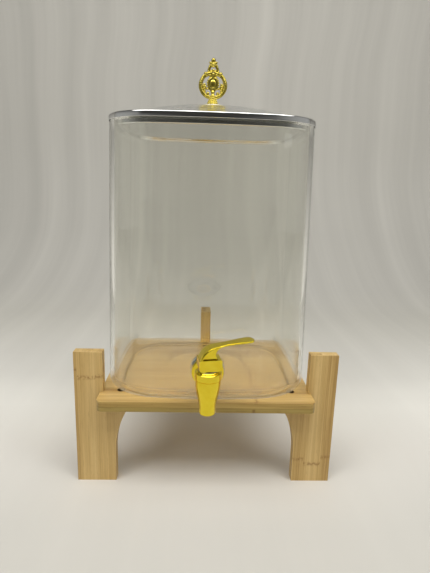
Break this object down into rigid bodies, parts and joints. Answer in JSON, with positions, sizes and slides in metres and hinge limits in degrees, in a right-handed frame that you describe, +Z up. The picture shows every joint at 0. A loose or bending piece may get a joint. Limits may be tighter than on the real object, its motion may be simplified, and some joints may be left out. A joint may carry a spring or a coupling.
{
  "type": "glass beverage dispenser",
  "caption": "Rounded-rectangular glass drinks dispenser with a domed steel lid, an ornate gold knob and a gold lever tap, on a bamboo stand with slab legs.",
  "frame": {"origin": "on the floor, at the middle of the outline seen from above", "axes": "+Z up, -Y to the front where the tap is, +X to the right seen from the front"},
  "size_m": [0.2796, 0.2536, 0.4537],
  "materials": {
    "bamboo": "clear satin lacquer on laminated bamboo strips",
    "screw_steel": "plain turned",
    "glass": "clear pressed",
    "silicone": "translucent moulded",
    "nut_plastic": "translucent grey moulded",
    "gold_plate": "bright gold plating",
    "polished_steel": "mirror polished"
  },
  "bodies": {
    "stand": {"shelf_board": "bamboo", "leg_left": "bamboo", "leg_right": "bamboo", "leg_rear": "bamboo", "leg_screws": "screw_steel"},
    "jar": {"glass_jar": "glass", "outer_washer": "silicone", "inner_washer": "silicone", "tap_nut": "nut_plastic", "tap_body": "gold_plate", "tap_bonnet": "gold_plate"},
    "lid": {"lid_shell": "polished_steel", "lid_pan": "polished_steel", "lid_gasket": "silicone", "knob_disc": "polished_steel", "knob_finial": "gold_plate", "knob_screw": "screw_steel", "knob_washer": "screw_steel"},
    "tap_swivel": {"cam_washer": "screw_steel", "seat_cup": "silicone"},
    "stem": {"tap_stem": "screw_steel", "lever_pin": "screw_steel"},
    "lever": {"tap_lever": "gold_plate"}
  },
  "joints": [
    {"name": "jar_lift", "type": "slide", "parent": "stand", "child": "jar", "axis": [0, 0, 1], "range_m": [0, 0.06]},
    {"name": "lid_lift", "type": "slide", "parent": "jar", "child": "lid", "axis": [0, 0, 1], "range_m": [0, 0.04]},
    {"name": "tap_turn", "type": "hinge", "parent": "jar", "child": "tap_swivel", "pos_m": [0, -0.11393, 0.1522], "axis": [0, 0, 1], "range_deg": [-210, 10]},
    {"name": "stem_lift", "type": "slide", "parent": "tap_swivel", "child": "stem", "axis": [0, 0, 1], "range_m": [0, 0.0033], "deforming": ["seat_cup"]},
    {"name": "lever_tilt", "type": "hinge", "parent": "stem", "child": "lever", "pos_m": [0, -0.11393, 0.161], "axis": [-0.1736, 0.9848, 0], "range_deg": [0, 25], "stiffness_Nm_per_rad": 0.08, "springref_deg": -5.73}
  ],
  "couplings": [
    {"joint": "stem_lift", "follows": "lever_tilt", "m_per_rad": 0.0075}
  ]
}
